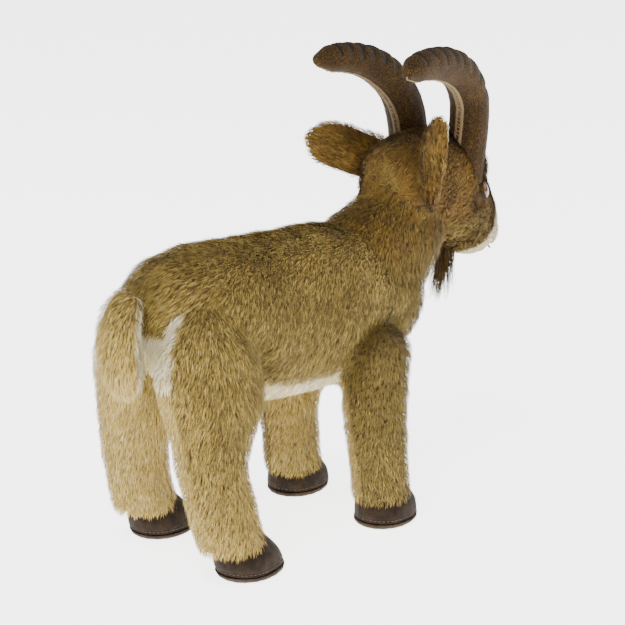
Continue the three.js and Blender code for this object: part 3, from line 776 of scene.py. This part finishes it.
def add_horn(side, cloth, seam_thread):
    nodes = [f"horn_outer_panel_{side}", f"horn_inner_panel_{side}"]
    skin = soften(f"horn_{side}", [*nodes, f"horn_filling_{side}"], 1.1 * MM, close=1.2 * MM, rounds=5)
    line = np.array([in_head(*p) for p in smooth_line(HORNS[side])])
    steps = np.linalg.norm(np.diff(line, axis=0), axis=1)
    along = np.concatenate([[0], np.cumsum(steps)]) / steps.sum()
    ways = unit(np.gradient(line, axis=0))
    outward = unit(np.cross(ways, np.array(HEAD_LEFT)))
    if outward[0] @ np.array(HEAD_FRONT) < 0:
        outward = -outward
    points = vertex_data(skin.data)
    gaps = np.linalg.norm(points[:, None] - line[None], axis=2)
    at = gaps.argmin(1)
    away = unit(points - line[at])
    round_it = (away * outward[at]).sum(1)
    share = along[at] + wobble(points, 70, 31, 1)[:, 0] * 0.006
    band = np.zeros(len(points))
    ring = np.zeros(len(points))
    for k, place in enumerate(HORN_BANDS):
        reach = BAND_REACH[k % len(BAND_REACH)]
        here = np.exp(-((share - place) / 0.0095) ** 2)
        band = np.maximum(band, here * smoothstep(round_it, reach, reach + 0.35))
        ring = np.maximum(ring, np.exp(-((share - place) / 0.016) ** 2) * smoothstep(round_it, -0.6, 0.5))
    ridge = smoothstep(-round_it, 0.965, 0.985) - 0.9 * smoothstep(-round_it, 0.9965, 0.9993)
    puff = (0.9 + wobble(points, 45, 33, 1)[:, 0] * 0.35 - ring * 0.9 + ridge * 0.7) * MM
    moved = points + away * puff[:, None]
    skin.data.vertices.foreach_set("co", moved.ravel())
    set_attribute(skin.data, "band", band)
    set_attribute(skin.data, "ridge", ridge)
    places = []
    surface = surface_of(moved, skin.data)
    for k in range(1, len(line)):
        if 0.2 < along[k] < 0.93 and int(along[k] * HORN_STITCHES) != int(along[k - 1] * HORN_STITCHES):
            inner = Vector(-outward[k])
            found = surface.ray_cast(Vector(line[k]) + inner * 0.03, -inner, 0.03)
            if found[0] is not None:
                places.append((found[0], inner, Vector(HEAD_LEFT) * 0.8 + Vector(ways[k]) * 0.5))
    seam = stitches(f"stitching_horn_{side}", places, 3.4 * MM, 0.42 * MM, seam_thread)
    finish_piece(seam, "head", nodes[0], replaces=False)
    for node, piece in panels_of(skin, nodes, [cloth, cloth]).items():
        finish_piece(piece, "head", node)


# Each ear's way from root to tip and the way its furry back faces, and its root in mm, in the head's frame.
EARS = {
    "left": ((0.88, 0.36, 0.3), (-0.3, 0.5, 0.8)),
    "right": ((-0.3, 0.2, 0.92), (0.68, 0.72, 0.1)),
}
EAR_ROOTS = {"left": (32, -8, 50), "right": (-33, 14, 42)}


def add_ear(side, backing, velvet):
    along, back = (np.array(to_row(way)) for way in EARS[side])
    skin = soften(f"ear_{side}", [f"ear_back_{side}"], 1.2 * MM, close=0.5 * MM, inset=0.4 * MM)
    wear(skin, backing)
    skin.name = f"skin_ear_back_{side}"
    root = np.array(in_head(*EAR_ROOTS[side]))
    points = vertex_data(skin.data)
    rise = (points - root) @ along
    near_root = smoothstep(-rise, -0.024, -0.004)[:, None]
    across = np.cross(back, along)
    wide = ((points - root) @ across)[:, None]
    points += across * wide * (0.12 + 0.5 * near_root) - along * near_root * 13 * MM
    skin.data.vertices.foreach_set("co", points.ravel())
    skin.data.update()

    def look(points, normals):
        facing = smoothstep(normals @ back, -0.45, 0.25)
        rise = (points - root) @ along
        full = 1 + 0.5 * smoothstep(-rise, -0.018, 0.0)
        length = (1.4 + 5.2 * facing) * MM * (facing > 0.02) * full
        return length, 0.4 + 0 * facing, same(points, "ear")

    fur = grow(f"fur_ear_back_{side}", skin, constant(along * 0.9 + back * 0.1), look, DENSITY * 1.2, 4001,
               shift=lambda points: 0.1)
    finish_piece(skin, f"ear_{side}", f"ear_back_{side}")
    finish_piece(fur, f"ear_{side}", f"ear_back_{side}", replaces=False)
    lining = soften(f"skin_ear_lining_{side}", [f"ear_lining_{side}"], 0.8 * MM, close=0.3 * MM)
    points = vertex_data(lining.data)
    lining.data.vertices.foreach_set("co", (points + wobble(points, 120, 8, 1) * back * 0.5 * MM).ravel())
    lining.data.materials.append(velvet)
    finish_piece(lining, f"ear_{side}", f"ear_lining_{side}")


def hull_of(name, node):
    """The convex hull of a CAD node, as a new object."""
    bm = bmesh.new()
    for vertex in NODES[node].data.vertices:
        bm.verts.new(vertex.co)
    result = bmesh.ops.convex_hull(bm, input=bm.verts)
    inside = {v for v in result["geom_interior"] + result["geom_unused"] if isinstance(v, bmesh.types.BMVert)}
    bmesh.ops.delete(bm, geom=list(inside), context="VERTS")
    return link_bmesh(name, bm)


SOLE_SEAM = 2.4 * MM  # the stitched groove, above the bottom of the hoof's cover
HOOF_STITCHES = 46


def add_hoof(leg, upper, under, seam_thread):
    cover_node, sole_node = f"hoof_cover_{leg}", f"hoof_sole_{leg}"
    cover = hull_of(f"skin_{cover_node}", cover_node)
    modify(cover, ("REMESH", {"mode": "VOXEL", "voxel_size": 1.1 * MM}),
           ("SMOOTH", {"factor": 0.5, "iterations": 14}))
    low, high = (Vector(corner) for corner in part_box(cover_node))
    middle = np.array((low + high) / 2)
    points = vertex_data(cover.data)
    lift = smoothstep(points[:, 2], 0.013, 0.033)[:, None]
    flat = points - middle
    flat[:, 2] = 0
    dents = wobble(points, 60, 51, 1) * 0.5 * MM
    groove = np.exp(-((points[:, 2:3] - low.z - SOLE_SEAM) / (1.1 * MM)) ** 2) * 0.9 * MM
    points = points - flat * lift * 0.26 + unit(flat) * (dents - groove)
    cover.data.vertices.foreach_set("co", points.ravel())
    cover.data.shade_smooth()
    cover.data.materials.append(upper)
    sole = hull_of(f"skin_{sole_node}", sole_node)
    modify(sole, ("REMESH", {"mode": "VOXEL", "voxel_size": 0.9 * MM}),
           ("SMOOTH", {"factor": 0.5, "iterations": 3}))
    sole.data.shade_smooth()
    sole.data.materials.append(under)
    surface = surface_of(points, cover.data)
    places = []
    for k in range(HOOF_STITCHES):
        angle = 2 * math.pi * k / HOOF_STITCHES
        out = Vector((math.cos(angle), math.sin(angle), 0))
        start = Vector((middle[0], middle[1], low.z + SOLE_SEAM)) + out * 0.06
        found = surface.ray_cast(start, -out, 0.06)
        if found[0] is not None:
            places.append((found[0], out, out.cross(Vector((0, 0, 1)))))
    seam = stitches(f"stitching_hoof_{leg}", places, 2.3 * MM, 0.4 * MM, seam_thread)
    finish_piece(cover, f"leg_{leg}", cover_node)
    finish_piece(sole, f"leg_{leg}", sole_node)
    finish_piece(seam, f"leg_{leg}", sole_node, replaces=False)


# The way each eye looks and where it sits, in mm, in the head's frame.
EYE_OUT = {"left": (0.85, -0.42, 0.32), "right": (-0.85, -0.42, 0.32)}
EYE_AT = {"left": (30, -62, 27), "right": (-30, -62, 27)}


def add_eye(side, glass, lid_cloth):
    """A domed plastic eye, and a rolled lid round it that is heavier above."""
    radius, dome, back = 7.2, 4.6, 2.0
    turned = to_row(EYE_OUT[side]).to_track_quat("Z", "Y").to_matrix().to_4x4()
    place = Matrix.Translation(in_head(*EYE_AT[side])) @ turned
    bm = bmesh.new()
    bmesh.ops.create_uvsphere(bm, u_segments=56, v_segments=36, radius=1)
    iris = bm.verts.layers.float.new("iris")
    for vertex in bm.verts:
        x, y, z = vertex.co
        vertex[iris] = math.hypot(x * 0.8, y * 1.25) if z > 0 else 1.4
        vertex.co = Vector((x * radius, y * radius, z * (dome if z > 0 else back))) * MM
    bm.transform(place)
    eye = link_bmesh(f"glass_eye_{side}", bm)
    eye.data.shade_smooth()
    eye.data.materials.append(glass)
    finish_piece(eye, "head", f"eye_{side}")
    rim, sides = 64, 12
    points, faces = [], []
    for i in range(rim):
        turn = 2 * math.pi * i / rim
        heavy = 1.5 + 0.9 * max(math.sin(turn), 0)
        for j in range(sides):
            a = 2 * math.pi * j / sides
            r = radius + 0.4 + heavy * 0.8 * math.cos(a)
            spot = Vector((math.cos(turn) * r, math.sin(turn) * r * 0.96, heavy * math.sin(a) + 0.6))
            points.append(place @ (spot * MM))
            k, m = (i + 1) % rim, (j + 1) % sides
            faces.append((i * sides + j, k * sides + j, k * sides + m, i * sides + m))
    mesh = bpy.data.meshes.new(f"lid_eye_{side}")
    mesh.from_pydata(points, [], faces)
    mesh.shade_smooth()
    mesh.materials.append(lid_cloth)
    finish_piece(link(mesh.name, mesh), "head", "nose", replaces=False)


# The mouth's lines, in mm in the head's frame: down from the nose, and a smile to each side.
MOUTH = [[(0, -118, -9), (0, -118, -15), (0, -115, -22)],
         [(0, -115, -22), (7, -112, -26), (14, -104, -27), (19, -94, -24)],
         [(0, -115, -22), (-7, -112, -26), (-14, -104, -27), (-19, -94, -24)]]


def mouth_points(surface):
    """(point, outward, along) on the muzzle for each stitch of the mouth."""
    places = []
    for line in MOUTH:
        path = [in_head(*p) for p in smooth_line(line, 5)]
        for a, b in zip(path, path[1:]):
            spot, out, _, _ = surface.find_nearest((a + b) / 2)
            places.append((spot + out * 1.6 * MM, out, b - a))
    return places


def add_beard():
    """A bunch of long tapering hairs in a few locks, from under the chin."""
    rng = np.random.default_rng(12)
    count, segments, lock_count = 900, 6, 11
    top, left, back = np.array(in_head(0, -60, -13)), np.array(HEAD_LEFT), -np.array(HEAD_FRONT)
    down = np.array([0, 0, -1.0])
    locks = rng.normal(size=(lock_count, 2)) * (5.5 * MM, 4.5 * MM)
    reach = rng.uniform(34, 52, lock_count) * MM
    which = rng.integers(0, lock_count, count)
    angle, radius = rng.uniform(0, 2 * math.pi, count), np.sqrt(rng.random(count))
    spread = np.stack([np.cos(angle) * radius * 6 * MM, np.sin(angle) * radius * 8 * MM], 1)
    root = top + left * spread[:, :1] + back * spread[:, 1:]
    bend = locks[which] * 1.1 - spread * 0.75 + rng.normal(size=(count, 2)) * 0.9 * MM
    length = reach[which] * (1 - rng.random(count) ** 1.3 * 0.7)
    wave = rng.normal(size=(count, 2)) * 0.9 * MM
    t = np.linspace(0, 1, segments + 1)[None, :, None]
    path = (root[:, None] + down * length[:, None, None] * t
            + left * (bend[:, :1, None] * t ** 1.2 + wave[:, :1, None] * np.sin(t * 6))
            + back * (bend[:, 1:, None] * t ** 1.2 + wave[:, 1:, None] * np.sin(t * 5) + 0.008 * t ** 2))
    turn = rng.uniform(0, math.pi, count)[:, None]
    side = left * np.cos(turn) + back * np.sin(turn)
    half = 0.3 * MM * (1.0 - t ** 2 * 0.93) * rng.uniform(0.6, 1.2, count)[:, None, None]
    points = np.stack([path - side[:, None] * half, path + side[:, None] * half], 2).reshape(-1, 3)
    base = (np.arange(count) * (segments + 1) * 2)[:, None] + np.arange(segments)[None] * 2
    loops = np.stack([base, base + 1, base + 3, base + 2], 2)
    starts = np.arange(count * segments) * 4
    slots = np.repeat(rng.choice(4, count, p=[0.35, 0.25, 0.3, 0.1]), segments)
    piece = ribbons("hair_beard_tuft", points, loops, starts, slots, ["umber", "black", "brown", "ginger"])
    finish_piece(piece, "beard", "beard_tuft")


# ---------------------------------------------------------------- build

add_camera()
add_studio()

BACKING = {
    "tan": backing_cloth("backing_tan", (0.10, 0.062, 0.022), (0.22, 0.15, 0.055)),
    "brown": backing_cloth("backing_brown", (0.05, 0.028, 0.009), (0.13, 0.075, 0.022)),
    "cream": backing_cloth("backing_cream", (0.42, 0.34, 0.20), (0.66, 0.58, 0.40)),
    "pale": backing_cloth("backing_pale", (0.26, 0.18, 0.08), (0.44, 0.33, 0.16)),
}
DENSITY = 1.1e6 * 1.0

leg_nodes = {leg: [f"leg_outer_panel_{leg}", f"leg_inner_panel_{leg}"] for leg in LEGS}
torso_nodes = ["back_panel_left", "back_panel_right", "belly_panel", "rump_patch"]
neck_nodes = ["neck_panel_left", "neck_panel_right"]
head_nodes = ["head_panel_left", "head_panel_right", "muzzle_panel"]
coat_nodes = torso_nodes + neck_nodes + head_nodes + [node for leg in LEGS for node in leg_nodes[leg]]
fillings = ["torso_filling", "neck_filling", "head_filling"] + [f"leg_filling_{leg}" for leg in LEGS]

# For each node: the backing, the body it rides on, the comb, the look and its share of the usual density.
plans = {node: ("tan", "torso", body_flow, body_look, 1.0) for node in torso_nodes}
plans["belly_panel"] = ("cream", "torso", body_flow, even_look(8.5 * MM, 0.4, "cream"), 0.9)
plans["rump_patch"] = ("cream", "torso", rump_flow, even_look(9 * MM, 0.4, "cream"), 1.0)
for node in neck_nodes:
    plans[node] = ("brown", "neck", constant((0, 0.5, -0.85)), neck_look, 1.0)
for node in head_nodes:
    plans[node] = ("brown", "head", head_flow, head_look, 1.15)
plans["muzzle_panel"] = ("cream", "head", head_flow, muzzle_look, 1.5)
for leg in LEGS:
    for node in leg_nodes[leg]:
        outer = "outer" in node
        look = leg_look("rear" in leg, outer)
        plans[node] = ("tan" if outer else "pale", f"leg_{leg}", leg_flow, look, 1.0)
body_at = [plans[node][1] for node in coat_nodes]
# The filling that some of the padded skins also stand for.
STUFFING = {"back_panel_left": "torso_filling", "neck_panel_left": "neck_filling",
            "head_panel_left": "head_filling",
            **{f"leg_outer_panel_{leg}": f"leg_filling_{leg}" for leg in LEGS}}

# The room that the neck and the legs need to swing is closed over first, a little under the coat.
meetings = [neck_nodes + head_nodes + ["neck_filling", "head_filling"],
            neck_nodes + torso_nodes + ["neck_filling", "torso_filling"],
            *[torso_nodes + leg_nodes[leg] + ["torso_filling", f"leg_filling_{leg}"] for leg in LEGS]]
bridges = [soften(f"under_{k}", nodes, VOXEL, close=9 * MM, inset=1.2 * MM, rounds=3)
           for k, nodes in enumerate(meetings)]
whole = soften("coat", coat_nodes + fillings, VOXEL, close=CLOSE, inset=PILE, rounds=7, extra=bridges)
for obj in bridges:
    bpy.data.objects.remove(obj)
bm = bmesh.new()
bm.from_mesh(whole.data)
bmesh.ops.delete(bm, geom=[f for f in bm.faces if f.calc_center_median().z < CUFF], context="FACES")
bm.to_mesh(whole.data)
bm.free()
centres, face_normals = face_data(whole.data)
owner = nearest(centres + face_normals * PILE, coat_nodes)

# The folds: the coat is drawn in along the line where each leg meets the body, deepest low down.
edge_points = []
edge_owner = {}
for polygon, of in zip(whole.data.polygons, owner):
    for key in polygon.edge_keys:
        other = edge_owner.setdefault(key, of)
        pair = {body_at[coat] for coat in (other, of)}
        if len(pair) == 2 and "torso" in pair and not pair & {"neck", "head"}:
            edge_points.append((whole.data.vertices[key[0]].co + whole.data.vertices[key[1]].co) / 2)
folds = tree_of(edge_points)


def fold_depth(points):
    """How far into a fold each point is, from 0 to 1."""
    gap = np.array([folds.find(p)[2] for p in points])
    low = smoothstep(-points[:, 2], -0.195, -0.145)
    return np.exp(-(gap / 0.008) ** 2) * (0.1 + 0.9 * low)


def swell(points, normals):
    """How far the stuffing swells the coat out: at the face, jaw, chest, withers and horn roots."""
    local = points - np.array(HEAD_AT)
    ahead, height = local @ np.array(HEAD_FRONT), local[:, 2]
    eye_gap = np.min([np.linalg.norm(points - eye, axis=1) for eye in EYES], axis=0)
    nose_gap = np.linalg.norm(points - np.array(in_head(0, -113, -3)), axis=1)
    clear = smoothstep(eye_gap, 0.008, 0.021) * smoothstep(nose_gap, 0.009, 0.022)
    on_head = smoothstep(ahead, 0.025, 0.06) * smoothstep(height, -0.045, -0.035)
    jaw = (smoothstep(ahead, 0.01, 0.045) * smoothstep(-normals[:, 2], 0.0, 0.7)
           * smoothstep(height, -0.05, -0.04))
    y, z = points[:, 1], points[:, 2]
    chest = (smoothstep(-normals[:, 1], 0.1, 0.8) * smoothstep(-y, 0.015, 0.05)
             * smoothstep(-z, -0.235, -0.205) * smoothstep(z, 0.105, 0.135))
    withers = smoothstep(normals[:, 2], 0.2, 0.8) * smoothstep(-y, -0.05, 0.0) * smoothstep(y, -0.07, -0.04)
    horn_roots = [np.array(in_head(x, -50, 50)) for x in (-27, 27)]
    root_gap = np.min([np.linalg.norm(points - root, axis=1) for root in horn_roots], axis=0)
    brow = np.exp(-(root_gap / 0.018) ** 2) * smoothstep(eye_gap, 0.008, 0.021)
    return (3.4 * on_head * clear + 4.5 * jaw * clear + 7.5 * brow + 5.0 * chest * (1 - on_head)
            + 2.5 * withers) * MM


points, normals = vertex_data(whole.data), vertex_data(whole.data, "normal")
lumps = wobble(points, 22, 61, 1) * 0.9 * MM + wobble(points, 60, 62, 1) * 0.5 * MM
behind = points[:, 1:2] > 0.05  # past the middle of the body, where the legs are rear ones
drawn = np.where(behind, CUFF_DRAWN["rear"], CUFF_DRAWN["front"])
cuff = smoothstep(-points[:, 2:3], -0.068, -0.037) * drawn
spots = points + normals * (lumps + swell(points, normals)[:, None] - fold_depth(points)[:, None] * FOLD)
spots[:, 2:3] -= cuff
whole.data.vertices.foreach_set("co", spots.ravel())
whole.data.update()


def leg_bend(piece):
    """The piece's place is baked into its mesh; it is not attached to any body."""
    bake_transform(piece)


BENDS = {
    "torso": dict(a="torso", b="neck", start=(SPINE, -0.0134, 0.1511), end=(SPINE, -0.0417, 0.1835)),
    "neck": dict(a="neck", b="head", start=(SPINE, -0.0553, 0.1917), end=(SPINE, -0.0678, 0.2074)),
}
mouth = mouth_points(surface_of(vertex_data(whole.data), whole.data))
mouth_tree = tree_of([spot for spot, _, _ in mouth])


# Painted shade: along the folds the pile is shifted to darker shades, most deeply low down.
def painted_fold_shade(points):
    return -0.5 * fold_depth(points)


for seed, node in enumerate(coat_nodes):
    backing, body, flow, look, share = plans[node]
    skin = part_of(whole, f"skin_{node}", owner == coat_nodes.index(node))
    wear(skin, BACKING[backing])
    fur = grow(f"fur_{node}", skin, flow, look, DENSITY * share, seed * 10 + 3, shift=painted_fold_shade)
    finish_piece(skin, None, node)
    finish_piece(fur, None, node, replaces=False)
    if node in STUFFING:
        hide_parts(STUFFING[node])
    for piece in (skin, fur):
        if body.startswith("leg_"):
            leg_bend(piece)
        elif body in BENDS and node != "rump_patch":
            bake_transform(piece)
        else:
            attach(piece, body)
bpy.data.objects.remove(whole)

tail_nodes = ["tail_upper_panel", "tail_under_panel"]
tail_skin = soften("tail", [*tail_nodes, "tail_filling"], 2 * MM, close=2 * MM, inset=4.5 * MM, rounds=7)
for node, skin in panels_of(tail_skin, tail_nodes, [BACKING["tan"], BACKING["cream"]]).items():
    upper = node == "tail_upper_panel"
    fur = grow(f"fur_{node}", skin, tail_flow, tail_look(upper), DENSITY, 5001 + upper)
    finish_piece(skin, "tail", node)
    if upper:
        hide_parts("tail_filling")
    finish_piece(fur, "tail", node, replaces=False)

seam_gold = thread("thread_gold", (0.16, 0.10, 0.045))
seam_brown = thread("thread_brown", (0.05, 0.032, 0.02))
black_thread = thread("thread_black", (0.010, 0.007, 0.006))
horn_cloth = horn_velour("horn_velour", (0.005, 0.0024, 0.0007), (0.024, 0.0115, 0.0022), (0.15, 0.08, 0.018))
hoof_cloth = suede("hoof_suede", (0.004, 0.0022, 0.0012), (0.020, 0.011, 0.005), (0.040, 0.023, 0.011))
sole_cloth = suede("sole_suede", (0.016, 0.010, 0.006), (0.05, 0.032, 0.018), (0.085, 0.055, 0.032))
ear_velvet = backing_cloth("ear_velvet", (0.55, 0.43, 0.26), (0.76, 0.65, 0.46))
for side in SIDES:
    add_horn(side, horn_cloth, seam_gold)
    add_ear(side, BACKING["brown"], ear_velvet)
for leg in LEGS:
    add_hoof(leg, hoof_cloth, sole_cloth, seam_brown)

glass = Nodes("eye_glass", 0.08, specular=0.4)
glass.shader.inputs["Coat Weight"].default_value = 0.4
glass.done(glass.ramp(glass.attribute("iris"), (0.50, (0.001, 0.001, 0.001)), (0.56, (0.09, 0.028, 0.004)),
                      (0.76, (0.20, 0.070, 0.010)), (0.88, (0.03, 0.010, 0.002)),
                      (0.95, (0.002, 0.001, 0.001))))
lid_cloth = suede("lid_suede", (0.012, 0.007, 0.004), (0.035, 0.02, 0.01), (0.05, 0.03, 0.015))
for side in SIDES:
    add_eye(side, glass.material, lid_cloth)

nose = soften("skin_nose", ["nose"], 0.9 * MM, close=0.6 * MM, inset=-0.6 * MM)
nose_cloth = suede("nose_suede", (0.010, 0.006, 0.004), (0.032, 0.02, 0.014), (0.05, 0.03, 0.02))
nose.data.materials.append(nose_cloth)
finish_piece(nose, "head", "nose")
mouth_line = stitches("stitching_mouth", mouth, 4.2 * MM, 0.75 * MM, black_thread)
finish_piece(mouth_line, "head", "muzzle_panel", replaces=False)
add_beard()

# What the unseen nodes are made of, by a word in their names.
INSIDE = {
    "wire": grained("bent_steel", 0.35, (600, 3), (0.42, 0.43, 0.45), (0.62, 0.63, 0.65), (900, 2), 0.05 * MM,
                    metallic=1.0),
    "filling": grained("polyester_fibre", 1.0, (260, 6, 0.8), (0.72, 0.71, 0.68), (0.92, 0.91, 0.89),
                       (420, 5), 1.5 * MM, sheen=0.4),
    "washer": grained("washer_nylon", 0.45, (300, 2), (0.72, 0.71, 0.67), (0.80, 0.79, 0.75), (700, 2),
                      0.05 * MM),
}
for name, obj in NODES.items():
    for word, material in INSIDE.items():
        if word in name:
            obj.material_slots[0].material = material
